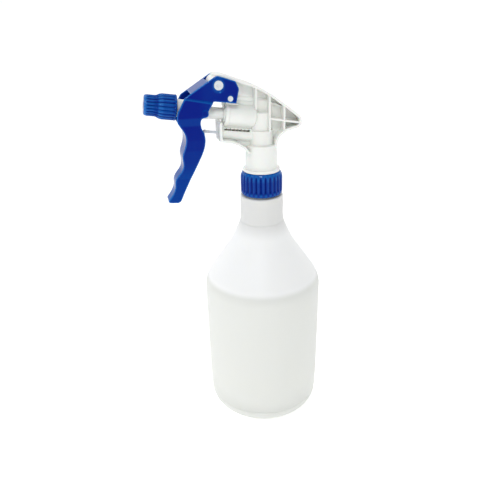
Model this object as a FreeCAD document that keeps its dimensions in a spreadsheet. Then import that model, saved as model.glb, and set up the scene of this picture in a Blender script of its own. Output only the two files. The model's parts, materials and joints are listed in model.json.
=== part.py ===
import FreeCAD, Part
import math
import os
import Sketcher

# Trigger spray bottle: one-litre translucent bottle with a 28 mm neck and a trigger pump head.
# Row frame in millimetres: +Z up along the bottle's axis, origin at the centre of the base,
# nozzle toward -X. Every sub-part is modelled where it sits at rest.

os.makedirs("parts", exist_ok=True)

doc = FreeCAD.newDocument("SprayBottle")
sheet = doc.addObject("Spreadsheet::Sheet", "Dims")

DIMENSIONS = [
    # bottle
    ("bodyRadius", 47.2), ("bottleWall", 1.3), ("pushUp", 3.0), ("restRadius", 34.5),
    ("shoulderStart", 118.0), ("shoulderRadius", 43.6), ("shoulderTop", 126.5),
    ("coneRadius", 24.2), ("coneTop", 154.5), ("neckStart", 171.0), ("neckRadius", 16.7),
    ("collarTop", 192.0), ("finishRadius", 12.7), ("lipHeight", 205.5), ("mouthRadius", 10.9),
    ("threadCrest", 13.6), ("threadPitch", 4.2), ("baseRound", 11.0),
    # closure
    ("closureRadius", 16.0), ("closureBottom", 193.3), ("closureTop", 211.1),
    ("closureBore", 14.5), ("closureHole", 12.5), ("closureRibs", 27),
    # pump head
    ("flangeWidth", 18.8), ("webWidth", 2.4), ("flangeThick", 1.7), ("discRadius", 14.1),
    ("discBottom", 211.4), ("discTop", 213.6), ("stemRadius", 12.0), ("stemTop", 231.4),
    ("ledgeRadius", 8.8), ("ledgeTop", 242.0), ("columnRadius", 7.3), ("columnTop", 255.1),
    ("riserBore", 2.0), ("ribWidth", 16.8), ("ribThick", 1.5),
    # pump cylinder frame: mouth of the cylinder, tilted nose-up
    ("mouthX", -27.5), ("mouthZ", 255.0), ("pumpTilt", 8.0), ("cylinderLength", 23.4),
    ("cylinderRadius", 7.75), ("collarRadius", 8.4), ("linerRadius", 6.2), ("linerBore", 5.2),
    ("rodRadius", 4.2), ("rodPlay", 0.05),
    # return spring frame: front plate of the trough
    ("troughX", -32.4), ("troughZ", 242.05), ("troughRadius", 3.75), ("troughWall", 1.0),
    ("pushRodRadius", 1.0), ("springRadius", 2.9), ("springWire", 1.0), ("springPitch", 2.75),
    # nozzle frame
    ("nozzleX", -50.0), ("nozzleZ", 259.67), ("nozzleTilt", 8.7), ("barrelRadius", 6.0),
    ("spigotRadius", 4.5), ("spigotEnd", 25.6), ("nozzleRear", 11.6), ("nozzleTip", 33.9),
    ("nozzleRadius", 8.95), ("nozzleRibs", 20), ("valveBore", 2.1), ("passageRadius", 1.1),
    # trigger
    ("pivotX", -32.5), ("pivotZ", 276.3), ("pivotRadius", 3.15), ("pivotBoss", 5.6),
    ("plateInner", 19.4), ("plateOuter", 21.8), ("gripWidth", 23.4), ("stopX", -24.5),
    ("stopZ", 267.0), ("stopRadius", 1.8), ("crossPinRadius", 1.8),
    ("jointX", -42.6), ("jointZ", 257.7),
    # suction side
    ("tubeRadius", 3.0), ("tubeBore", 2.0), ("tubeBottom", 10.0), ("insertRadius", 5.0),
    ("insertBottom", 200.2), ("insertTop", 213.4), ("ballRadius", 2.4),
]
for row, (alias, value) in enumerate(DIMENSIONS, start=1):
    sheet.set("A%d" % row, alias)
    sheet.set("B%d" % row, str(value))
    sheet.setAlias("B%d" % row, alias)
doc.recompute()


def isWord(token):
    return token[0].isalpha()


def number(term):
    """The value of a sum of sheet names and numbers, such as 'bodyRadius - bottleWall'."""
    if not isinstance(term, str):
        return float(term)
    total, sign = 0.0, 1.0
    for token in term.split():
        if token in ("+", "-"):
            sign = 1.0 if token == "+" else -1.0
        else:
            total += sign * float(sheet.get(token) if isWord(token) else token)
            sign = 1.0
    return total


def formula(term):
    return " ".join("Dims." + token if isWord(token) else token for token in term.split())


def bind(thing, prop, term, unit=""):
    """Sets a property, and ties it to the sheet when the term names a dimension."""
    if isinstance(term, str):
        thing.setExpression(prop, "(%s)%s" % (formula(term), unit))
    else:
        setattr(thing, prop, term)


def spot(x, z, y=0.0):
    return FreeCAD.Vector(number(x), number(y), number(z))


def tiltedPlacement(x, z, tilt, along=0.0, lift=0.0):
    """A frame whose local Z points nose-up toward -X, moved along it and across it."""
    angle = math.radians(number(tilt))
    axis = FreeCAD.Vector(-math.cos(angle), 0, math.sin(angle))
    across = FreeCAD.Vector(math.sin(angle), 0, math.cos(angle))
    base = spot(x, z) + axis * number(along) + across * number(lift)
    turn = FreeCAD.Rotation(FreeCAD.Vector(0, -1, 0), 90.0 - number(tilt))
    return FreeCAD.Placement(base, turn)


def pumpFrame(along=0.0, lift=0.0):
    return tiltedPlacement("mouthX", "mouthZ", "pumpTilt", along, lift)


def troughFrame(along=0.0, lift=0.0):
    return tiltedPlacement("troughX", "troughZ", "pumpTilt", along, lift)


def nozzleFrame(along=0.0, lift=0.0):
    return tiltedPlacement("nozzleX", "nozzleZ", "nozzleTilt", along, lift)


# ---------------------------------------------------------------- sketches and features

def pinPoint(sketch, geo, end, x, y):
    """Fixes one end of a line from the sketch's origin, by number or by sheet name."""
    for kind, term, axis in (("DistanceX", x, -2), ("DistanceY", y, -1)):
        if number(term) == 0.0:
            sketch.addConstraint(Sketcher.Constraint("PointOnObject", geo, end, axis))
            continue
        index = sketch.addConstraint(Sketcher.Constraint(kind, -1, 1, geo, end, number(term)))
        if isinstance(term, str):
            sketch.setExpression("Constraints[%d]" % index, formula(term))


def drawLoop(sketch, pieces):
    """Draws a closed outline: lists of corners are straight, tuples are smooth curves."""
    for piece in pieces:
        points = [FreeCAD.Vector(number(x), number(y), 0) for x, y in piece]
        if isinstance(piece, tuple):
            curve = Part.BSplineCurve()
            curve.interpolate(points)
            geo = sketch.addGeometry(curve)
            sketch.addConstraint(Sketcher.Constraint("Block", geo))
            continue
        for start, end, (x, y) in zip(points, points[1:], piece):
            geo = sketch.addGeometry(Part.LineSegment(start, end))
            pinPoint(sketch, geo, 1, x, y)
            pinPoint(sketch, geo, 2, *piece[points.index(end)])


def newSketch(body, plane, offset=0.0):
    sketch = body.newObject("Sketcher::SketchObject", body.Name + "Sketch")
    support = next(f for f in body.Origin.OriginFeatures if f.Role == plane)
    sketch.AttachmentSupport = [(support, "")]
    sketch.MapMode = "FlatFace"
    sketch.AttachmentOffset = FreeCAD.Placement(FreeCAD.Vector(0, 0, number(offset)), FreeCAD.Rotation())
    return sketch


def closed(corners):
    return [list(corners) + [corners[0]]]


def turned(name, corners, placement=None):
    """A body turned about its own Z from a (radius, height) outline."""
    body = doc.addObject("PartDesign::Body", name)
    sketch = newSketch(body, "XZ_Plane")
    drawLoop(sketch, closed(corners) if isinstance(corners[0][0], (int, float, str)) else corners)
    turn = body.newObject("PartDesign::Revolution", name + "Turn")
    turn.Profile = sketch
    turn.ReferenceAxis = (sketch, ["V_Axis"])
    turn.Angle = 360
    body.Tip = turn
    if placement is not None:
        body.Placement = placement
    doc.recompute()
    return body


def padded(name, loops, width):
    """A body padded both ways from the XZ plane, to a total width along Y."""
    body = doc.addObject("PartDesign::Body", name)
    sketch = newSketch(body, "XZ_Plane")
    for loop in loops:
        drawLoop(sketch, loop)
    pad = body.newObject("PartDesign::Pad", name + "Pad")
    pad.Profile = sketch
    pad.SideType = "Symmetric"
    bind(pad, "Length", width)
    body.Tip = pad
    doc.recompute()
    return body


def roundEdges(body, radius, test):
    """Rounds the edges of the body's tip that pass the test."""
    base = body.Tip
    names = ["Edge%d" % (i + 1) for i, edge in enumerate(base.Shape.Edges) if test(edge)]
    if not names:
        raise RuntimeError("no edge to round on " + body.Name)
    fillet = body.newObject("PartDesign::Fillet", body.Name + "Round")
    fillet.Base = (base, names)
    bind(fillet, "Radius", radius)
    body.Tip = fillet
    doc.recompute()
    if "Invalid" in fillet.State or fillet.Shape.isNull():
        raise RuntimeError("cannot round %s by %s" % (body.Name, radius))
    return body


def ringAt(radius, height, slack=0.05):
    """A test for a full circle of this radius at this height in the body's own frame."""
    def test(edge):
        curve = edge.Curve
        return (isinstance(curve, Part.Circle) and abs(curve.Radius - number(radius)) < slack
                and abs(curve.Center.z - number(height)) < slack)
    return test


def flutes(body, count, radius, ring, bottom, top):
    """Cuts a ring of rounded grooves parallel to the body's Z."""
    sketch = newSketch(body, "XY_Plane", bottom)
    geo = sketch.addGeometry(Part.Circle(FreeCAD.Vector(number(ring), 0, 0),
                                         FreeCAD.Vector(0, 0, 1), number(radius)))
    sketch.addConstraint(Sketcher.Constraint("Radius", geo, number(radius)))
    pinPoint(sketch, geo, 3, ring, 0)
    before = body.Tip.Shape.Volume
    cut = body.newObject("PartDesign::Pocket", body.Name + "Flute")
    cut.Profile = sketch
    cut.Length = number(top) - number(bottom)
    cut.Reversed = True
    body.Tip = cut
    doc.recompute()
    if cut.Shape.Volume >= before:
        raise RuntimeError("flute of %s cuts nothing" % body.Name)
    pattern = body.newObject("PartDesign::PolarPattern", body.Name + "Flutes")
    pattern.Originals = [cut]
    pattern.Axis = (sketch, ["N_Axis"])
    pattern.Angle = 360
    bind(pattern, "Occurrences", count)
    body.Tip = pattern
    doc.recompute()
    return body


# ---------------------------------------------------------------- primitives and booleans

def cylinder(name, radius, length, placement):
    thing = doc.addObject("Part::Cylinder", name)
    bind(thing, "Radius", radius)
    bind(thing, "Height", length)
    thing.Placement = placement
    return thing


def crosswise(name, radius, width, x, z):
    """A cylinder across the part, centred on Y = 0."""
    middle = spot(x, z) + FreeCAD.Vector(0, number(width) / 2, 0)
    turn = FreeCAD.Rotation(FreeCAD.Vector(1, 0, 0), 90)
    return cylinder(name, radius, width, FreeCAD.Placement(middle, turn))


def between(name, radius, start, end):
    """A cylinder from one point to another."""
    axis = end - start
    turn = FreeCAD.Rotation(FreeCAD.Vector(0, 0, 1), axis)
    return cylinder(name, radius, axis.Length, FreeCAD.Placement(start, turn))


def box(name, low, high, placement=None):
    thing = doc.addObject("Part::Box", name)
    thing.Length, thing.Width, thing.Height = [b - a for a, b in zip(low, high)]
    thing.Placement = (placement or FreeCAD.Placement()).multiply(
        FreeCAD.Placement(FreeCAD.Vector(*low), FreeCAD.Rotation()))
    return thing


def fused(name, things):
    thing = doc.addObject("Part::MultiFuse", name)
    thing.Shapes = things
    thing.Refine = True
    doc.recompute()
    return thing


def cut(name, base, tools):
    thing = doc.addObject("Part::Cut", name)
    thing.Base = base
    thing.Tool = tools[0] if len(tools) == 1 else fused(name + "Tools", tools)
    thing.Refine = True
    doc.recompute()
    return thing


def shared(name, things):
    thing = doc.addObject("Part::MultiCommon", name)
    thing.Shapes = things
    doc.recompute()
    return thing


def coil(name, radius, wire, pitch, length, placement):
    """A wound wire, which no primitive makes with closed ends."""
    helix = Part.makeHelix(pitch, length, radius)
    start = FreeCAD.Vector(radius, 0, 0)
    section = Part.Wire([Part.makeCircle(wire / 2, start, FreeCAD.Vector(0, 1, 0))])
    solid = Part.Wire(helix.Edges).makePipeShell([section], True, True)
    thing = doc.addObject("Part::Feature", name)
    thing.Shape = solid
    thing.Placement = placement
    return thing


def strip(points, thick):
    """A closed band that follows a path, thickened toward its right-hand side."""
    inner = []
    for i, (x, z) in enumerate(points):
        before = points[max(i - 1, 0)]
        after = points[min(i + 1, len(points) - 1)]
        dx, dz = after[0] - before[0], after[1] - before[1]
        size = math.hypot(dx, dz)
        inner.append((x + dz / size * thick, z - dx / size * thick))
    return closed(list(points) + inner[::-1])


# ---------------------------------------------------------------- bottle

print("bottle")
outer = [
    ("restRadius", 0), ("bodyRadius", 0), ("bodyRadius", "shoulderStart"),
    ("shoulderRadius", "shoulderTop"), ("coneRadius", "coneTop"), ("neckRadius + 1.1", 168.5),
    ("neckRadius + 0.35", "neckStart"), ("neckRadius", "neckStart + 1.2"),
    ("neckRadius", "collarTop"), ("finishRadius", "collarTop"), ("finishRadius", "lipHeight"),
]
inner = [
    ("mouthRadius", "lipHeight"), ("mouthRadius", "collarTop - 3"),
    ("neckRadius - bottleWall - 0.6", "collarTop - 7"), ("neckRadius - bottleWall", "neckStart"),
    ("neckRadius - bottleWall + 1.1", 167.6),
    ("coneRadius - bottleWall", "coneTop - 1"), ("shoulderRadius - bottleWall", "shoulderTop - 1"),
    ("bodyRadius - bottleWall", "shoulderStart"), ("bodyRadius - bottleWall", "bottleWall"),
    ("restRadius", "bottleWall"), ("restRadius - 7", "pushUp + bottleWall"), (0, "pushUp + bottleWall"),
    (0, "pushUp"), ("restRadius - 6", "pushUp"),
]
bottleBody = turned("bottleShell", outer + inner)
roundEdges(bottleBody, "baseRound", ringAt("bodyRadius", 0))
roundEdges(bottleBody, 9.4, ringAt("bodyRadius - bottleWall", "bottleWall"))
roundEdges(bottleBody, 14, ringAt("bodyRadius", "shoulderStart"))
roundEdges(bottleBody, 13, ringAt("shoulderRadius", "shoulderTop"))
roundEdges(bottleBody, 12, ringAt("bodyRadius - bottleWall", "shoulderStart"))
roundEdges(bottleBody, 12, ringAt("shoulderRadius - bottleWall", "shoulderTop - 1"))
roundEdges(bottleBody, 14, ringAt("coneRadius", "coneTop"))
roundEdges(bottleBody, 14, ringAt("coneRadius - bottleWall", "coneTop - 1"))
roundEdges(bottleBody, 0.8, ringAt("finishRadius", "lipHeight"))
roundEdges(bottleBody, 1.2, ringAt("neckRadius", "collarTop"))


def neckThread():
    """One and a half turns of thread that sink into the finish at both ends."""
    root, crest = number("finishRadius") - 0.3, number("threadCrest")
    pitch = number("threadPitch")
    helix = Part.makeHelix(pitch, 1.5 * pitch, root)
    corners = [(root, -1.1), (crest, -0.45), (crest, 0.45), (root, 1.1)]
    points = [FreeCAD.Vector(x, 0, z) for x, z in corners + corners[:1]]
    return Part.Wire(helix.Edges).makePipeShell([Part.makePolygon(points)], True, True)


thread = doc.addObject("Part::Feature", "neckThread")
thread.Shape = neckThread()
thread.Placement = FreeCAD.Placement(spot(0, "lipHeight - 9.2"), FreeCAD.Rotation())
bottle = fused("bottle", [bottleBody, thread])

# ---------------------------------------------------------------- closure and neck parts

print("closure")
closure = turned("closure", [
    ("closureRadius - 0.7", "closureBottom"), ("closureRadius", "closureBottom + 0.8"),
    ("closureRadius", "closureTop"),
    ("closureHole", "closureTop"), ("closureHole", 209.4), ("closureBore", 209.4),
    ("closureBore", 201.6), ("closureBore - 0.5", 201.1), ("closureBore - 0.5", 200.3),
    ("closureBore", 199.8), ("closureBore", "closureBottom"),
])
roundEdges(closure, 2.7, ringAt("closureRadius", "closureTop"))
flutes(closure, "closureRibs", 1.35, "closureRadius + 0.5", "closureBottom + 2.4", "closureTop - 0.9")

gasket = turned("neck_gasket", [
    (10.6, 205.8), (13.2, 205.8), (13.2, 207.2), (10.6, 207.2),
])
insert = turned("inlet_insert", [
    ("tubeRadius", "insertBottom"), ("insertRadius", "insertBottom"), ("insertRadius", "insertTop"),
    (3.2, "insertTop"), (3.2, 211.2), (1.6, 210.2), (1.6, 208.4), ("tubeRadius", 208.4),
])
inletBall = doc.addObject("Part::Sphere", "inlet_ball")
bind(inletBall, "Radius", "ballRadius")
inletBall.Placement = FreeCAD.Placement(spot(0, 212.75), FreeCAD.Rotation())
dipTube = turned("dip_tube", [
    ("tubeBore", "tubeBottom"), ("tubeRadius", "tubeBottom"), ("tubeRadius", 208.4),
    ("tubeBore", 208.4),
])
filterCup = turned("filterCup", [
    (0, 6.2), (3.6, 6.2), (4.2, 7.0), (4.2, 18.0), ("tubeRadius", 18.0),
    ("tubeRadius", "tubeBottom"), (2.2, "tubeBottom"), (2.2, 7.4), (0, 7.4),
])
slots = [box("filterSlot%d" % i, (-5, -0.5, 8.0), (5, 0.5, 9.6),
             FreeCAD.Placement(FreeCAD.Vector(), FreeCAD.Rotation(FreeCAD.Vector(0, 0, 1), 60 * i)))
         for i in range(3)]
tubeFilter = cut("tube_filter", filterCup, slots)

# ---------------------------------------------------------------- pump body

print("pump body")
roof = [(-34.5, 283.0), (-27.5, 282.6), (-17.8, 278.9), (-9.0, 275.9), (-1.2, 272.2),
        (7.9, 266.5), (18.9, 258.3), (26.4, 252.5), (28.2, 250.4)]
rear = [(28.2, 250.4), (28.5, 247.5), (28.0, 244.8), (25.8, 243.2), (16.7, 241.1), (12.4, 238.0), (10.2, 233.8),
        (9.8, 229.5)]
chin = [(-11.4, 226.0), (-14.6, 230.0), (-19.0, 233.1), (-24.6, 235.5), (-30.4, 236.2),
        (-32.4, 238.4), (-32.4, 250.2)]
front = [(-28.6, 250.2), (-28.6, 263.4), (-30.5, 264.6), (-47.0, 263.8), (-50.0, 262.5),
         (-50.0, 265.2), (-44.0, 270.2), (-38.7, 275.2), (-36.0, 279.0)]
flangeThick = number("flangeThick")
web = padded("webPlate", [closed(roof + rear[1:] + chin + front)], "webWidth")
roofBand = padded("roofBand", [strip(roof, flangeThick)], "flangeWidth")
rearBand = padded("rearBand", [strip(rear, flangeThick)], "flangeWidth - 1")
chinBand = padded("chinBand", [strip(chin, flangeThick)], "flangeWidth - 1.6")
arm = padded("nozzleArm", [closed(front[2:] + [(-30.5, 278.0)])], 8.4)

ribs = []
for label, x, low, high in (("ribFront", -5.5, 258.0, 273.2), ("ribMiddle", 4.6, 241.0, 267.6),
                            ("ribRear", 15.5, 242.0, 259.8)):
    ribs.append(box(label, (x - 0.7, -number("ribWidth") / 2, low),
                    (x + 0.7, number("ribWidth") / 2, high)))
ribs.append(box("riserPanel", (-5.4, -2.5, 252.0), (4.4, 2.5, 263.4)))
shelf = padded("shelfBand", [strip([(4.6, 251.6), (27.6, 247.3)], 1.4)], "ribWidth")
upperShelf = padded("upperShelf", [strip([(4.9, 262.2), (10.4, 260.7), (15.4, 258.3)], 1.3)], 7.0)

stem = turned("stemPart", [
    (0, 200.0), (9.9, 200.0), (9.9, 205.8), (9.9, 207.2), (13.3, 207.2), (13.3, 209.0),
    (12.1, 209.0), (12.1, "discBottom"), ("discRadius", "discBottom"), ("discRadius", "discTop"),
    ("stemRadius + 0.7", "discTop"), ("stemRadius + 0.1", "discTop + 2.2"),
    ("stemRadius - 0.3", "stemTop"), ("ledgeRadius + 0.3", "stemTop"),
    ("ledgeRadius", "ledgeTop"), ("columnRadius", "ledgeTop"),
    ("columnRadius", "columnTop - 0.7"), ("columnRadius - 0.7", "columnTop"), (0, "columnTop"),
])
roundEdges(stem, 0.6, lambda edge: ringAt("discRadius", "discTop")(edge)
           or ringAt("stemRadius - 0.3", "stemTop")(edge))
barrelCylinder = turned("pumpCylinder", [
    (0, "- cylinderLength"), ("cylinderRadius - 1.3", "- cylinderLength"),
    ("cylinderRadius", -22.0), ("cylinderRadius", -3.0),
    ("collarRadius", -2.6), ("collarRadius", 0), (0, 0),
], pumpFrame())
collarLedge = box("collarLedge", (7.4, -4.6, -9.0), (8.5, 4.6, 0.4), pumpFrame())
trough = cylinder("trough", "troughRadius + troughWall", 25.4, troughFrame(-25.6))
plateBoss = box("frontPlate", (-32.4, -7.6, 236.9), (-30.2, 7.6, 250.2))
boss = crosswise("pivotBoss", "pivotBoss", 18.6, "pivotX", "pivotZ")
lug = crosswise("stopLug", 1.5, "ribWidth", -20.35, 272.3)
tubeStart, tubeEnd = spot(4.7, 262.53), spot(-43.0, 269.25)
passage = between("passageTube", 2.2, tubeStart, tubeEnd)
barrel = turned("nozzleBarrel", [
    (0, -3.4), ("barrelRadius", -3.4), ("barrelRadius", 12.6), ("spigotRadius", 12.6),
    ("spigotRadius", "spigotEnd - 0.5"), ("spigotRadius - 0.5", "spigotEnd"), (0, "spigotEnd"),
], nozzleFrame())
sealGroove = turned("sealGroove", [
    (3.7, 17.4), (5.2, 17.4), (5.2, 19.4), (3.7, 19.4),
], nozzleFrame())
headSolid = fused("headSolid", [web, roofBand, rearBand, chinBand, arm, shelf, upperShelf, stem,
                                barrelCylinder, collarLedge, trough, plateBoss, boss, lug, passage, barrel] + ribs)
bores = [
    cylinder("cylinderBore", "linerRadius", 23.0, pumpFrame(-21.0)),
    cylinder("portBore", 1.0, 8.4, pumpFrame(-28.4)),
    cylinder("troughBore", "troughRadius", 23.0, troughFrame(-24.6)),
    box("troughOpening", (2.4, -5.1, -22.9), (3.9, 5.1, -3.6), troughFrame()),
    cylinder("pushRodBore", "pushRodRadius + 0.06", 6.0, troughFrame(-3.0)),
    crosswise("pivotBore", "pivotRadius + 0.05", 24.0, "pivotX", "pivotZ"),
    cylinder("riser", "riserBore", 32.0, FreeCAD.Placement(spot(0, 219.5), FreeCAD.Rotation())),
    cylinder("riserUp", "passageRadius", 12.6, FreeCAD.Placement(spot(0, 250.8), FreeCAD.Rotation())),
    cylinder("ballChamber", 3.4, 8.0, FreeCAD.Placement(spot(0, 213.3), FreeCAD.Rotation())),
    cylinder("insertSocket", "insertRadius", 13.7, FreeCAD.Placement(spot(0, 199.8), FreeCAD.Rotation())),
    between("passageBore", "passageRadius", spot(9.0, 261.93), tubeEnd),
    between("passageDrop", "passageRadius", tubeEnd, spot(-49.2, 259.4)),
    cylinder("barrelBore", "passageRadius", 18.0, nozzleFrame(-1.2)),
    cylinder("valveChamber", "valveBore", 12.0, nozzleFrame(15.0)),
    sealGroove,
]
pumpBody = cut("pump_body", headSolid, bores)

# ---------------------------------------------------------------- pump inner parts

print("pump inner parts")
liner = turned("cylinder_liner", [
    ("linerBore", -20.9), ("linerRadius", -20.9), ("linerRadius", -1.6), ("linerBore", -1.6),
], pumpFrame())
guide = turned("rod_guide", [
    ("rodRadius + rodPlay", -1.5), ("linerRadius", -1.5), ("linerRadius", 0.9),
    ("rodRadius + rodPlay", 0.9),
], pumpFrame())
pistonRod = turned("pistonRod", [
    (0, -11.6), (4.8, -11.6), (4.8, -10.6), (3.9, -10.6), (3.9, -8.8), (4.8, -8.8), (4.8, -7.8),
    ("rodRadius", -7.0), ("rodRadius", 13.1), (0, 13.1),
], pumpFrame())
pistonHead = box("pistonHead", (-3.9, -3.3, 11.8), (3.9, 3.3, 18.5), pumpFrame())
slotMiddle = box("slotMiddle", (-2.8, -6, 13.18), (2.8, 6, 17.48), pumpFrame())
piston = cut("piston", fused("pistonSolid", [pistonRod, pistonHead]), [slotMiddle])
pistonSeal = turned("piston_seal", [
    (3.9, -10.5), (4.9, -10.5), (5.1, -10.2), (4.85, -9.7), (5.1, -9.2), (4.9, -8.9), (3.9, -8.9),
], pumpFrame())
pushRod = turned("spring_rod", [
    (0, -3.3), (2.0, -3.3), (3.1, -3.0), (3.1, -2.2), ("pushRodRadius", -2.0),
    ("pushRodRadius", 8.9), (1.4, 9.3), (1.4, 10.1), (0.9, 10.9), (0, 10.9),
], troughFrame())
returnSpring = coil("return_spring", number("springRadius"), number("springWire"),
                    number("springPitch"), 18.8, troughFrame(-22.8))
springSeat = turned("spring_seat", [
    (0, -24.5), (3.7, -24.5), (3.7, -23.4), (1.9, -23.4), (1.9, -22.6), (0, -22.6),
], troughFrame())
plug = between("passage_plug", "passageRadius - 0.02", spot(2.6, 262.83), tubeStart)

# ---------------------------------------------------------------- nozzle

print("nozzle")
nozzle = turned("nozzle", [
    (6.5, "nozzleRear"), ("nozzleRadius - 0.5", "nozzleRear"), ("nozzleRadius", "nozzleRear + 0.6"),
    ("nozzleRadius - 0.35", 22.6), (7.3, 25.4), (7.1, 32.6),
    (6.0, "nozzleTip"), (2.6, "nozzleTip"), (0.5, 32.4), (0.5, 29.6), (3.3, 29.6), (3.3, 26.4),
    ("spigotRadius + 0.06", 26.4), ("spigotRadius + 0.06", 13.6), (6.5, 13.2),
])
flutes(nozzle, "nozzleRibs", 0.95, "nozzleRadius + 0.3", 13.0, 22.9)
flutes(nozzle, "nozzleRibs", 0.85, 7.68, 25.2, 31.8)
nozzle.Placement = nozzleFrame()
swirl = turned("swirlDisc", [
    (0, 26.5), (3.3, 26.5), (3.3, 29.5), (0, 29.5),
], nozzleFrame())
swirlCuts = [box("swirlSlot%d" % i, (-4, -0.5, 26.4), (4, 0.5, 27.4),
                 nozzleFrame().multiply(FreeCAD.Placement(
                     FreeCAD.Vector(), FreeCAD.Rotation(FreeCAD.Vector(0, 0, 1), 90 * i + 20))))
             for i in range(2)]
swirlCuts.append(cylinder("swirlBore", 0.8, 3.4, nozzleFrame(26.3)))
swirlInsert = cut("swirl_insert", swirl, swirlCuts)
nozzleSeal = turned("nozzle_seal", [
    (3.7, 17.5), (4.46, 17.5), (4.5, 18.4), (4.46, 19.3), (3.7, 19.3),
], nozzleFrame())
outletBall = doc.addObject("Part::Sphere", "outlet_ball")
outletBall.Radius = 1.7
outletBall.Placement = nozzleFrame(16.5)
outletSpring = coil("outlet_spring", 1.35, 0.4, 1.1, 4.7, nozzleFrame(18.6))
outletCap = turned("outlet_cap", [
    (0.6, 23.8), ("valveBore", 23.8), ("valveBore", 25.4), (0.6, 25.4),
], nozzleFrame())

# ---------------------------------------------------------------- trigger

print("trigger")
plateOutline = [(-56.5, 268.8), (-34.9, 282.0), (-32.8, 282.6), (-20.4, 278.4), (-18.0, 273.2),
                (-20.3, 263.4), (-36.4, 265.6), (-37.2, 263.9), (-43.2, 255.0), (-60.0, 254.6)]
plates = padded("yokePlates", [closed(plateOutline)], "plateOuter")
gripFront = ((-60.2, 262.0), (-62.4, 256.6), (-62.4, 253.4), (-59.6, 248.2), (-57.5, 244.0),
             (-57.2, 238.2), (-58.6, 233.3), (-60.2, 228.3), (-59.9, 223.1), (-61.0, 217.6),
             (-64.9, 212.8), (-66.6, 208.9), (-66.8, 205.2), (-68.8, 200.3), (-72.3, 195.7))
tip = [(-72.3, 195.7), (-72.7, 194.6), (-71.8, 193.5), (-65.4, 192.9), (-63.4, 193.8), (-62.0, 196.4)]
gripBack = ((-62.0, 196.4), (-54.0, 212.4), (-46.8, 226.6), (-44.4, 232.4), (-43.2, 238.0),
            (-43.6, 243.6))
backLine = [(-43.6, 243.6), (-45.6, 248.0), (-46.0, 252.0), (-45.2, 254.4), (-43.2, 255.0),
            (-37.2, 263.9), (-36.6, 264.5), (-56.5, 268.6), (-60.2, 262.0)]
gripSolid = padded("gripSolid", [[gripFront, tip, gripBack, backLine]], "gripWidth")


def taper(name, inset):
    """The grip seen from the front: full width at the top, narrow at the finger tip."""
    half = number("gripWidth") / 2 - inset
    low = 5.7 - inset
    right = [(half, 290.0), (half, 255.6), (half - 1.2, 249.6), (half - 1.3, 240.0), (half - 2.1, 232.0),
             (low + 0.7, 211.0), (low, 185.0)]
    body = doc.addObject("PartDesign::Body", name)
    sketch = newSketch(body, "YZ_Plane")
    drawLoop(sketch, closed(right + [(-y, z) for y, z in reversed(right)]))
    pad = body.newObject("PartDesign::Pad", name + "Pad")
    pad.Profile = sketch
    pad.SideType = "Symmetric"
    pad.Length = 180
    body.Tip = pad
    doc.recompute()
    return body


gripOuter = shared("gripOuter", [gripSolid, taper("gripTaper", 0.0)])
channelOutline = [(-70.0, 270.5), (-70.0, 251.5), (-59.2, 251.5), (-57.4, 247.6), (-55.2, 243.6),
                  (-55.0, 238.4), (-57.4, 229.6), (-57.6, 222.8), (-59.6, 214.6), (-62.8, 209.6),
                  (-64.2, 203.6), (-61.0, 201.2), (-38.0, 232.0), (-34.0, 270.5)]
channel = shared("channel", [padded("channelSolid", [closed(channelOutline)], "plateInner"),
                             taper("channelTaper", 1.7)])
slotOutline = [(-70.0, 250.0), (-70.0, 280.0), (-52.2, 280.0), (-51.6, 270.2), (-39.6, 277.7),
               (-39.0, 290.0), (-10.0, 290.0), (-10.0, 250.0)]
slot = padded("yokeSlot", [closed(slotOutline)], "plateInner")
cheeks = cut("triggerCheeks", fused("triggerSolid", [plates, gripOuter]), [channel, slot])
pushPad = box("pushPad", (-45.6, -10.2, 240.0), (-43.65, 10.2, 244.8))
crossPin = crosswise("crossPin", "crossPinRadius", 20.6, "jointX", "jointZ")
bossRing = fused("jointBosses", [
    cut("pivotRings", crosswise("pivotRing", 4.6, "plateOuter + 0.7", "pivotX", "pivotZ"),
        [crosswise("pivotRingGap", 5.0, "plateInner", "pivotX", "pivotZ")]),
    cut("pistonRings", crosswise("pistonRing", 2.5, "gripWidth + 0.5", "jointX", "jointZ"),
        [crosswise("pistonRingGap", 3.4, "plateInner", "jointX", "jointZ")]),
])
triggerBody = fused("triggerBody", [cheeks, pushPad, crossPin, bossRing])
trigger = cut("trigger", triggerBody, [
    crosswise("pivotHole", "pivotRadius", 26.0, "pivotX", "pivotZ"),
    crosswise("stopHole", "stopRadius", 26.0, "stopX", "stopZ"),
])


def dimpledPin(name, radius, length, x, z, inner=None):
    """A pin across the plates with a shallow dimple in each end, or two stubs with a gap."""
    solid = crosswise(name + "Solid", radius, length, x, z)
    tools = []
    for side in (-1, 1):
        dimple = doc.addObject("Part::Sphere", "%sDimple%d" % (name, side + 1))
        dimple.Radius = number(radius) * 0.75
        reach = number(length) / 2 + number(radius) * 0.55
        dimple.Placement = FreeCAD.Placement(spot(x, z, side * reach), FreeCAD.Rotation())
        tools.append(dimple)
    if inner is not None:
        tools.append(crosswise(name + "Gap", number(radius) + 1, inner, x, z))
    return cut(name, solid, tools)


pivotPin = dimpledPin("trigger_pivot_pin", "pivotRadius", 23.2, "pivotX", "pivotZ")
stopPins = dimpledPin("trigger_stop_pins", "stopRadius", 22.6, "stopX", "stopZ", 13.0)

# ---------------------------------------------------------------- check and export

doc.recompute()
for thing in doc.Objects:
    if "Invalid" in thing.State or "Error" in thing.State:
        raise RuntimeError("%s did not build: %s" % (thing.Name, thing.State))

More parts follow.
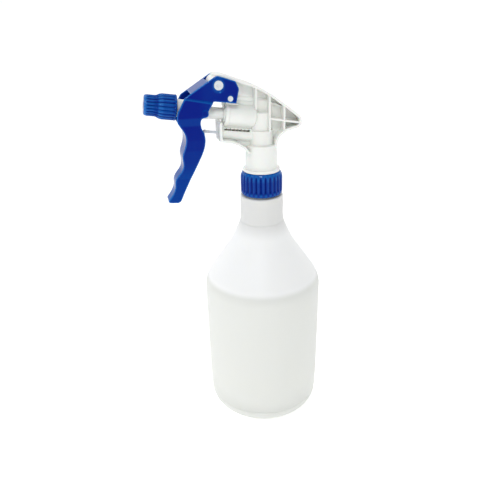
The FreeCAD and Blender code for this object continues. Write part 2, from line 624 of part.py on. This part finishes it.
NODES = [bottle, closure, gasket, pumpBody, insert, inletBall, dipTube, tubeFilter, liner, guide,
         piston, pistonSeal, pushRod, returnSpring, springSeat, plug, nozzle, swirlInsert,
         nozzleSeal, outletBall, outletSpring, outletCap, trigger, pivotPin, stopPins]
for node in NODES:
    node.Label = node.Name
    shape = node.Shape
    if shape.isNull() or not shape.isValid() or not shape.Solids:
        raise RuntimeError(node.Name + " is not a valid solid")
    shape.exportStep("parts/%s.step" % node.Name)
    size = shape.BoundBox
    print("%-18s solids %d volume %9.1f  x %.1f..%.1f  y %.1f..%.1f  z %.1f..%.1f"
          % (node.Name, len(shape.Solids), shape.Volume, size.XMin, size.XMax, size.YMin, size.YMax,
             size.ZMin, size.ZMax))
print("exported %d nodes" % len(NODES))
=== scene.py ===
import bpy
import bmesh
import json
import math
from mathutils import Matrix, Vector


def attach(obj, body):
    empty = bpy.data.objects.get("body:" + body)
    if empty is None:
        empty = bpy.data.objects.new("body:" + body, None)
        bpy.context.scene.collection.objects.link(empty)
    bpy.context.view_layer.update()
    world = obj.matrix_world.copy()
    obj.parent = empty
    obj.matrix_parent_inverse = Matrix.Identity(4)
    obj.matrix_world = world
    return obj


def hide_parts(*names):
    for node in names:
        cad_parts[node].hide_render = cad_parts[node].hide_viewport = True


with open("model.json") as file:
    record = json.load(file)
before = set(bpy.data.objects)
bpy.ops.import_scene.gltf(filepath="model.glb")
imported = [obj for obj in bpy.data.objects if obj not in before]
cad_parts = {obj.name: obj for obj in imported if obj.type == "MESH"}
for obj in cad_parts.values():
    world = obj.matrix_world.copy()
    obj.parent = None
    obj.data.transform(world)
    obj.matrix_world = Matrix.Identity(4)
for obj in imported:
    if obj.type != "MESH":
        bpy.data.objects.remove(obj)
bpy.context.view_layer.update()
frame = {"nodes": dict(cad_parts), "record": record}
nodes = frame["nodes"]
mm = 0.001


class Wire:
    # a socket whose sums and products add Math nodes
    def __init__(self, finish, socket):
        self.finish = finish
        self.socket = socket

    def maths(self, operation, first, second):
        made = self.finish.node("ShaderNodeMath", {"operation": operation}, {0: first, 1: second})
        return Wire(self.finish, made.outputs[0])

    def __add__(self, other):
        return self.maths("ADD", self, other)

    def __radd__(self, other):
        return self.maths("ADD", other, self)

    def __mul__(self, other):
        return self.maths("MULTIPLY", self, other)

    def __rmul__(self, other):
        return self.maths("MULTIPLY", other, self)


class Finish:
    # a material or a world and its shader; every node comes from the node method
    def __init__(self, owner, shader="Principled BSDF", **values):
        self.owner = owner
        owner.use_nodes = True
        self.tree = owner.node_tree
        self.shader = self.tree.nodes[shader]
        for socket, value in values.items():
            self.shader.inputs[socket.replace("_", " ")].default_value = value

    def node(self, kind, settings=None, sockets=None):
        made = self.tree.nodes.new(kind)
        for key, value in (settings or {}).items():
            setattr(made, key, value)
        for key, value in (sockets or {}).items():
            self.feed(made.inputs[key], value)
        return made

    def feed(self, socket, value):
        if isinstance(value, Wire):
            self.tree.links.new(value.socket, socket)
        elif isinstance(value, bpy.types.NodeSocket):
            self.tree.links.new(value, socket)
        else:
            socket.default_value = value

    def wire(self, kind, output, settings=None, sockets=None):
        return Wire(self, self.node(kind, settings, sockets).outputs[output])

    def place(self):
        return self.node("ShaderNodeTexCoord").outputs["Object"]

    def noise(self, scale, detail=3.0, stretch=None):
        vector = self.place()
        if stretch:
            vector = self.node("ShaderNodeMapping", None, {"Vector": vector, "Scale": stretch}).outputs[0]
        sockets = {"Vector": vector, "Scale": scale, "Detail": detail}
        return self.wire("ShaderNodeTexNoise", "Fac", None, sockets)

    def height(self):
        parts = self.node("ShaderNodeSeparateXYZ", None, {0: self.place()})
        return Wire(self, parts.outputs["Z"])

    def between(self, factor, first, second):
        return self.node("ShaderNodeMix", {"data_type": "RGBA"},
                         {"Factor": factor, 6: first, 7: second}).outputs[2]

    def limits(self, value, low, high, newLow=0.0, newHigh=1.0):
        return self.wire("ShaderNodeMapRange", 0, {"interpolation_type": "SMOOTHSTEP"},
                         {"Value": value, "From Min": low, "From Max": high,
                          "To Min": newLow, "To Max": newHigh})

    def relief(self, value, strength, distance, edge=0.0):
        # edge is the radius in metres that rounds the corners in the shading
        sockets = {"Height": value, "Strength": strength, "Distance": distance}
        if edge:
            sockets["Normal"] = self.node("ShaderNodeBevel", {"samples": 6}, {"Radius": edge}).outputs[0]
        bump = self.node("ShaderNodeBump", None, sockets)
        self.feed(self.shader.inputs["Normal"], bump.outputs[0])

    def give(self, socket, value):
        self.feed(self.shader.inputs[socket], value)


print("finishes")
# the blue finish holds painted light: a paler blue on faces turned up or down and at the grip's foot, a
# painted highlight on sharp edges, painted shade in hollows; a random swirl also pales it
blueLook = {"deep": (0.0002, 0.0110, 0.215, 1), "paintedLightAndSwirl": (0.0004, 0.080, 0.36, 1),
            "edge": (0.006, 0.17, 0.55, 1), "valleyShade": (0.0001, 0.0035, 0.09, 1),
            "paintedLightSlope": (0.03, 0.36), "paintedLightSlopeShare": 0.55, "swirlShare": 0.16, "paintedFootLightShare": 0.42,
            "ridgeHighlight": (0.502, 0.535), "paintedValleyShade": (0.455, 0.495), "gloss": (0.08, 0.16), "grain": 9000}


def bluePlastic(name, edge, paintedFootLight=None):
    look = blueLook
    finish = Finish(bpy.data.materials.new(name), IOR=1.49, Specular_IOR_Level=0.07, Coat_Roughness=0.07)
    surface = finish.node("ShaderNodeNewGeometry")
    # painted light: the blue pales where the surface faces up or down in world directions, standing in for
    # light on those faces
    tilt = finish.node("ShaderNodeSeparateXYZ", None, {0: surface.outputs["Normal"]}).outputs["Z"]
    steepness = finish.wire("ShaderNodeMath", 0, {"operation": "ABSOLUTE"}, {0: tilt})
    paintedLightAndSwirl = finish.limits(steepness, *look["paintedLightSlope"]) * look["paintedLightSlopeShare"]
    paintedLightAndSwirl = paintedLightAndSwirl + finish.limits(finish.noise(55, 4, (1, 1, 0.35)), 0.35, 0.8) * look["swirlShare"]
    if paintedFootLight:
        # painted light: the grip's blue pales towards its foot, between these two heights, standing in for
        # light on its lower facet
        paintedLightAndSwirl = paintedLightAndSwirl + finish.limits(finish.height(), paintedFootLight[0], paintedFootLight[1], look["paintedFootLightShare"], 0)
    body = finish.between(finish.wire("ShaderNodeClamp", 0, None, {0: paintedLightAndSwirl}), look["deep"], look["paintedLightAndSwirl"])
    # painted highlight: sharp edges and rib tops take a pale blue highlight colour; the coat weight there is
    # real gloss
    ridgeHighlight = finish.limits(surface.outputs["Pointiness"], *look["ridgeHighlight"])
    # painted shade: hollows and rib valleys take a darker blue
    paintedValleyShade = finish.limits(surface.outputs["Pointiness"], *look["paintedValleyShade"], 0.7, 0)
    body = finish.between(paintedValleyShade, body, look["valleyShade"])
    finish.give("Base Color", finish.between(ridgeHighlight * 0.75, body, look["edge"]))
    finish.give("Coat Weight", ridgeHighlight * 0.4)
    finish.give("Roughness", finish.limits(finish.noise(240, 5), 0.3, 0.75, *look["gloss"]))
    finish.relief(finish.noise(look["grain"], 2) * 0.4 + finish.noise(320, 3) * 0.6, 0.08, 0.00012, edge)
    return finish.owner


whiteLook = {"clean": (0.85, 0.862, 0.825, 1), "shade": (0.77, 0.785, 0.745, 1), "gloss": (0.30, 0.46)}


def whitePlastic(name, edge):
    finish = Finish(bpy.data.materials.new(name), IOR=1.49, Subsurface_Weight=0.12, Subsurface_Scale=0.0015)
    flow = finish.noise(38, 5, (1, 1, 0.5))
    clouds = finish.limits(flow, 0.4, 0.85)
    finish.give("Base Color", finish.between(clouds, whiteLook["clean"], whiteLook["shade"]))
    finish.give("Roughness", finish.limits(finish.noise(300, 4), 0.3, 0.75, *whiteLook["gloss"]))
    finish.relief(finish.noise(5200, 2) * 0.5 + finish.noise(260, 3) * 0.5, 0.12, 0.00012, edge)
    return finish.owner


bottleLook = {"air": (0.97, 0.975, 0.95, 1), "liquid": (0.775, 0.785, 0.735, 1),
              "neck": (0.72, 0.72, 0.70, 1), "level": (0.1223, 0.1271), "neckStart": (0.158, 0.174),
              "gloss": (0.42, 0.52)}


def bottlePlastic():
    look = bottleLook
    finish = Finish(bpy.data.materials.new("naturalPolyethylene"), IOR=1.52, Subsurface_Weight=0.35,
                    Subsurface_Scale=0.004, Subsurface_Radius=(1.0, 0.95, 0.8))
    ripple = finish.noise(14, 2) * 0.0016
    wet = finish.limits(finish.height() + ripple, *look["level"], 1, 0)  # the liquid behind the wall
    streaks = finish.noise(60, 4, (1, 1, 0.12)) * 0.08
    # darker towards the neck: partly its thicker wall, partly painted shade
    dry = finish.between(finish.limits(finish.height(), *look["neckStart"]), look["air"], look["neck"])
    finish.give("Base Color", finish.between(wet * (0.92 + streaks), dry, look["liquid"]))
    finish.give("Roughness", finish.limits(finish.noise(130, 5), 0.3, 0.75, *look["gloss"]))
    finish.relief(finish.noise(45, 3, (1, 1, 0.25)) * 0.7 + finish.noise(1500, 2) * 0.3, 0.16, 0.00035)
    return finish.owner


steelLook = {"dark": (0.70, 0.70, 0.65, 1), "pale": (0.86, 0.85, 0.80, 1), "gloss": (0.34, 0.5)}


def steelWire():
    finish = Finish(bpy.data.materials.new("springSteel"), Metallic=1.0)
    finish.give("Base Color", finish.between(finish.noise(900, 3), steelLook["dark"], steelLook["pale"]))
    finish.give("Roughness", finish.limits(finish.noise(2600, 3), 0.3, 0.7, *steelLook["gloss"]))
    finish.relief(finish.noise(5200, 2, (1, 1, 4)), 0.2, 0.00006)
    return finish.owner


ballLook = {"dark": (0.62, 0.63, 0.65, 1), "pale": (0.76, 0.76, 0.77, 1), "gloss": (0.06, 0.16)}


def polishedBall():
    finish = Finish(bpy.data.materials.new("polishedBall"), Metallic=1.0)
    finish.give("Base Color", finish.between(finish.noise(500, 3), ballLook["dark"], ballLook["pale"]))
    finish.give("Roughness", finish.limits(finish.noise(1800, 4), 0.3, 0.7, *ballLook["gloss"]))
    return finish.owner


sealLook = {"dark": (0.62, 0.60, 0.52, 1), "pale": (0.72, 0.70, 0.63, 1), "gloss": (0.5, 0.68)}


def softSeal():
    finish = Finish(bpy.data.materials.new("paleElastomer"), IOR=1.47)
    finish.give("Base Color", finish.between(finish.noise(420, 4), sealLook["dark"], sealLook["pale"]))
    finish.give("Roughness", finish.limits(finish.noise(1500, 3), 0.3, 0.7, *sealLook["gloss"]))
    finish.relief(finish.noise(3600, 3), 0.25, 0.0001)
    return finish.owner


tubeLook = {"dark": (0.84, 0.86, 0.84, 1), "pale": (0.92, 0.93, 0.92, 1), "gloss": (0.2, 0.34)}


def clearTube():
    finish = Finish(bpy.data.materials.new("dipTubePlastic"), IOR=1.5)
    streaks = finish.noise(90, 4, (1, 1, 0.1))
    finish.give("Base Color", finish.between(streaks, tubeLook["dark"], tubeLook["pale"]))
    finish.give("Roughness", finish.limits(finish.noise(500, 3), 0.3, 0.7, *tubeLook["gloss"]))
    finish.give("Alpha", finish.limits(finish.noise(60, 2, (1, 1, 0.1)), 0.2, 0.8, 0.62, 0.74))
    return finish.owner


pinLook = {"dark": (0.60, 0.63, 0.66, 1), "pale": (0.76, 0.78, 0.80, 1), "gloss": (0.24, 0.4)}


def acetal():
    finish = Finish(bpy.data.materials.new("acetalPin"), IOR=1.48, Subsurface_Weight=0.08,
                    Subsurface_Scale=0.001)
    finish.give("Base Color", finish.between(finish.noise(600, 4), pinLook["dark"], pinLook["pale"]))
    finish.give("Roughness", finish.limits(finish.noise(1400, 4), 0.3, 0.7, *pinLook["gloss"]))
    finish.relief(finish.noise(5000, 2), 0.15, 0.0001, 0.0002)
    return finish.owner


finishes = {
    "blue": bluePlastic("royalBluePaintedLight", 0.0003),
    # the grip's blue also holds painted light that pales towards its foot
    "grip": bluePlastic("gripBluePaintedFootLight", 0.0003, (0.205, 0.226)),
    "white": whitePlastic("whitePlastic", 0.0004),
    "bottle": bottlePlastic(), "steel": steelWire(), "ball": polishedBall(), "seal": softSeal(),
    "tube": clearTube(), "pin": acetal(),
}
for part in frame["record"]["subparts"]:
    for place in nodes[part["node"]].material_slots:
        place.link = "OBJECT"
        place.material = finishes[part["material_slot"]]


def rounded(corners, steps=6):
    # each corner is (radius, height, rounding); the rounding becomes a true arc
    points = []
    count = len(corners)
    for i, (r, z, rounding) in enumerate(corners):
        here = Vector((r, z))
        before = Vector(corners[i - 1][:2]) - here
        after = Vector(corners[(i + 1) % count][:2]) - here
        angle = before.angle(after)
        if rounding <= 0 or angle > 3.12:
            points.append(here)
            continue
        reach = min(rounding / math.tan(angle / 2), before.length * 0.96, after.length * 0.96)
        start, end = here + before.normalized() * reach, here + after.normalized() * reach
        inward = (before.normalized() + after.normalized()).normalized()
        middle = here + inward * reach / math.cos(angle / 2)
        first, last = start - middle, end - middle
        sweep = first.angle(last)
        for k in range(steps + 1):
            t = k / steps
            spoke = first * math.sin((1 - t) * sweep) + last * math.sin(t * sweep)
            points.append(middle + spoke / math.sin(sweep))
    return points


def turnedPiece(name, points, around, shape=None, matrix=None):
    # a closed profile swept round Z; shape gives the radius at an angle and height
    mesh = bpy.data.meshes.new(name)
    work = bmesh.new()
    rings = []
    for point in points:
        ring = []
        for k in range(around):
            angle = 2 * math.pi * k / around
            radius = shape(angle, point.x, point.y) if shape else point.x
            corner = (radius * math.cos(angle) * mm, radius * math.sin(angle) * mm, point.y * mm)
            ring.append(work.verts.new(corner))
        rings.append(ring)
    for i, ring in enumerate(rings):
        following = rings[(i + 1) % len(rings)]
        for k in range(around):
            j = (k + 1) % around
            work.faces.new((ring[k], ring[j], following[j], following[k]))
    bmesh.ops.recalc_face_normals(work, faces=work.faces)
    if matrix:
        work.transform(matrix)
    work.to_mesh(mesh)
    work.free()
    mesh.polygons.foreach_set("use_smooth", [True] * len(mesh.polygons))
    piece = bpy.data.objects.new(name, mesh)
    bpy.context.scene.collection.objects.link(piece)
    return piece


def finished(piece, body, slotName, *replaced, look=None):
    piece.data.materials.append(finishes[look or slotName])
    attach(piece, body)
    if replaced:
        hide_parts(*replaced)
    return piece


# outlines are in millimetres, as (radius, height, rounding), and run once round the section
print("bottle")
bottleShape = {
    "outside": [(0.4, 3.0, 0), (28.0, 3.0, 1.5), (34.0, 0.0, 0.6), (46.4, 0.0, 11.2), (46.45, 11.6, 0),
                (46.2, 11.9, 0), (46.2, 12.2, 0), (46.6, 12.5, 0), (47.2, 34.0, 60), (47.2, 118.4, 16),
                (43.6, 126.3, 16), (24.2, 154.5, 22), (17.6, 169.6, 8), (17.5, 170.6, 0.3),
                (16.95, 171.4, 0.4), (16.7, 176.0, 4), (16.6, 192.0, 1.0), (12.7, 192.0, 0.4),
                (12.7, 205.5, 0.8)],
    "inside": [(10.9, 205.5, 0.6), (10.9, 189.0, 1.5), (15.0, 185.0, 1.5), (15.4, 171.0, 4),
               (22.9, 153.5, 20), (42.3, 125.5, 12), (45.9, 118.0, 12), (45.2, 1.4, 9.8), (34.5, 1.4, 0.4),
               (28.0, 4.3, 0.5), (0.4, 4.3, 0)],
    "around": 256, "arcSteps": 8,
}
outline = rounded(bottleShape["outside"] + bottleShape["inside"], bottleShape["arcSteps"])
skin = turnedPiece("bottleShell", outline, bottleShape["around"])
finished(skin, "bottle", "bottle", "bottle")


def stacked(low, high, radius, count):
    # extra rings up a straight wall, so that its ribs can fade
    return [(radius, low + (high - low) * k / count, 0) for k in range(1, count)]


print("closure")
closureShape = {
    "ribs": 27, "depth": 1.25, "low": 195.4, "high": 210.2, "lowFade": 1.4, "highFade": 3.0,
    "wall": 14.6, "sharpness": 0.8, "around": 27 * 16, "arcSteps": 4,
    "outline": [(15.3, 193.3, 0.5), (16.0, 194.2, 0.7), *stacked(194.8, 206.8, 16.0, 14),
                (15.93, 207.3, 0), (15.75, 208.2, 0), (15.45, 209.0, 0), (15.05, 209.8, 0), (14.6, 210.5, 0),
                (13.9, 211.1, 0.3), (12.5, 211.1, 0.1), (12.5, 209.4, 0.1), (14.5, 209.4, 0.3),
                (14.5, 201.7, 0), (14.0, 201.1, 0), (14.0, 200.3, 0), (14.5, 199.7, 0), (14.5, 193.3, 0.2)],
}


def scallop(angle, radius, height):
    shape = closureShape
    if radius < shape["wall"]:
        return radius
    rise = max(0.0, min(1.0, (height - shape["low"]) / shape["lowFade"]))
    fade = rise * max(0.0, min(1.0, (shape["high"] - height) / shape["highFade"]))
    wave = abs(math.sin(angle * shape["ribs"] / 2)) ** shape["sharpness"]
    return radius - shape["depth"] * (1 - wave) * fade * fade * (3 - 2 * fade)


outline = rounded(closureShape["outline"], closureShape["arcSteps"])
cap = turnedPiece("ribbedClosure", outline, closureShape["around"], scallop)
finished(cap, "closure", "blue", "closure")

print("nozzle")
nozzleShape = {
    "ribs": 20, "depth": 0.78, "low": 12.3, "high": 32.6, "lowFade": 0.9, "highFade": 1.2,
    "wall": 6.55, "sharpness": 0.9, "around": 20 * 14, "arcSteps": 4, "tilt": 8.7, "base": (-50.0, 0, 259.67),
    "outline": [(6.5, 11.6, 0.1), (8.6, 11.6, 0.4), (8.95, 12.2, 0.3), *stacked(12.4, 22.4, 8.86, 12),
                (8.66, 22.6, 0), (8.52, 23.2, 0), (8.2, 23.9, 0), (7.82, 24.5, 0), (7.52, 25.1, 0),
                (7.36, 25.8, 0), *stacked(25.8, 32.4, 7.26, 8),
                (7.1, 32.5, 0), (6.9, 33.2, 0), (6.5, 33.7, 0), (5.9, 33.9, 0.2), (2.6, 33.9, 0.3),
                (0.5, 32.4, 0.1), (0.5, 29.6, 0), (3.3, 29.6, 0), (3.3, 26.4, 0), (4.56, 26.4, 0),
                (4.56, 13.6, 0), (6.5, 13.2, 0)],
}
nozzleTurn = Matrix.Rotation(math.radians(-(90 - nozzleShape["tilt"])), 4, "Y")
nozzlePlace = Matrix.Translation(Vector(nozzleShape["base"]) * mm) @ nozzleTurn


def flute(angle, radius, height):
    shape = nozzleShape
    if radius < shape["wall"]:
        return radius
    rise = max(0.0, min(1.0, (height - shape["low"]) / shape["lowFade"]))
    fade = rise * max(0.0, min(1.0, (shape["high"] - height) / shape["highFade"]))
    wave = abs(math.cos(angle * shape["ribs"] / 2)) ** shape["sharpness"]
    return radius - shape["depth"] * (1 - wave) * fade


outline = rounded(nozzleShape["outline"], nozzleShape["arcSteps"])
knob = turnedPiece("flutedNozzle", outline, nozzleShape["around"], flute, nozzlePlace)
finished(knob, "nozzle", "blue", "nozzle")

print("trigger")
triggerShape = {"voxel": 0.00036, "smoothing": 16}


def softened(source, name, voxel, passes):
    piece = bpy.data.objects.new(name, source.data.copy())
    piece.matrix_world = source.matrix_world
    piece.data.materials.clear()
    bpy.context.scene.collection.objects.link(piece)
    remesh = piece.modifiers.new("remesh", "REMESH")
    remesh.mode = "VOXEL"
    remesh.voxel_size = voxel
    remesh.use_smooth_shade = True
    smooth = piece.modifiers.new("smooth", "SMOOTH")
    smooth.factor = 0.5
    smooth.iterations = passes
    return piece


lever = softened(nodes["trigger"], "softTrigger", triggerShape["voxel"], triggerShape["smoothing"])
finished(lever, "trigger", "blue", "trigger", look="grip")

print("stage")
stage = {"half": 80, "paper": (0.93, 0.93, 0.93, 1), "fleck": (0.95, 0.95, 0.95, 1), "glow": 0.34,
         "air": (0.98, 0.99, 1.0, 1), "airTurn": (-0.5, 0.75), "airPower": (0.56, 1.05), "aim": (0, 0, 0.16)}
floorMesh = bpy.data.meshes.new("floor")
half = stage["half"]
sheet = [(-half, -half, 0), (half, -half, 0), (half, half, 0), (-half, half, 0)]
floorMesh.from_pydata(sheet, [], [(0, 1, 2, 3)])
floor = bpy.data.objects.new("floor", floorMesh)
bpy.context.scene.collection.objects.link(floor)
paper = Finish(bpy.data.materials.new("paleFloor"), Roughness=0.75, Emission_Color=(1, 1, 1, 1),
               Emission_Strength=stage["glow"])
paper.give("Base Color", paper.between(paper.noise(3, 2), stage["paper"], stage["fleck"]))
floorMesh.materials.append(paper.owner)

bpy.context.scene.world = bpy.data.worlds.new("studio")
sky = Finish(bpy.context.scene.world, "Background", Color=stage["air"])
facing = sky.node("ShaderNodeSeparateXYZ", None, {0: sky.node("ShaderNodeTexCoord").outputs["Generated"]})
sky.give("Strength", sky.limits(facing.outputs["Y"], *stage["airTurn"], *stage["airPower"]))

lamps = [
    {"name": "key", "at": (-0.32, -0.84, 1.08), "size": (0.20, 0.20), "power": 3.5},
    {"name": "side", "at": (-0.95, -0.25, 0.75), "size": (0.5, 0.7), "power": 0.9},
    {"name": "top", "at": (0.0, 0.35, 1.2), "size": (0.8, 0.6), "power": 0.9},
]
for spec in lamps:
    light = bpy.data.lights.new(spec["name"], "AREA")
    light.shape = "RECTANGLE"
    light.size, light.size_y = spec["size"]
    light.energy = spec["power"]
    lamp = bpy.data.objects.new(spec["name"], light)
    lamp.location = spec["at"]
    lamp.rotation_euler = (Vector(stage["aim"]) - lamp.location).to_track_quat("-Z", "Y").to_euler()
    bpy.context.scene.collection.objects.link(lamp)

view = {"lens": 37.8, "at": (-0.1006, -0.3753, 0.3281), "right": (0.9699, -0.2427, -0.0186),
        "forward": (0.2114, 0.8780, -0.4294)}
lens = bpy.data.cameras.new("camera")
lens.lens = view["lens"]
lens.sensor_width = 36
lens.clip_start = 0.01
camera = bpy.data.objects.new("camera", lens)
forward = Vector(view["forward"]).normalized()
right = Vector(view["right"])
right = (right - forward * right.dot(forward)).normalized()
turn = Matrix((right, right.cross(forward), -forward)).transposed().to_4x4()
camera.matrix_world = Matrix.Translation(view["at"]) @ turn
bpy.context.scene.collection.objects.link(camera)
bpy.context.scene.camera = camera
bpy.context.scene.view_settings.view_transform = "Standard"
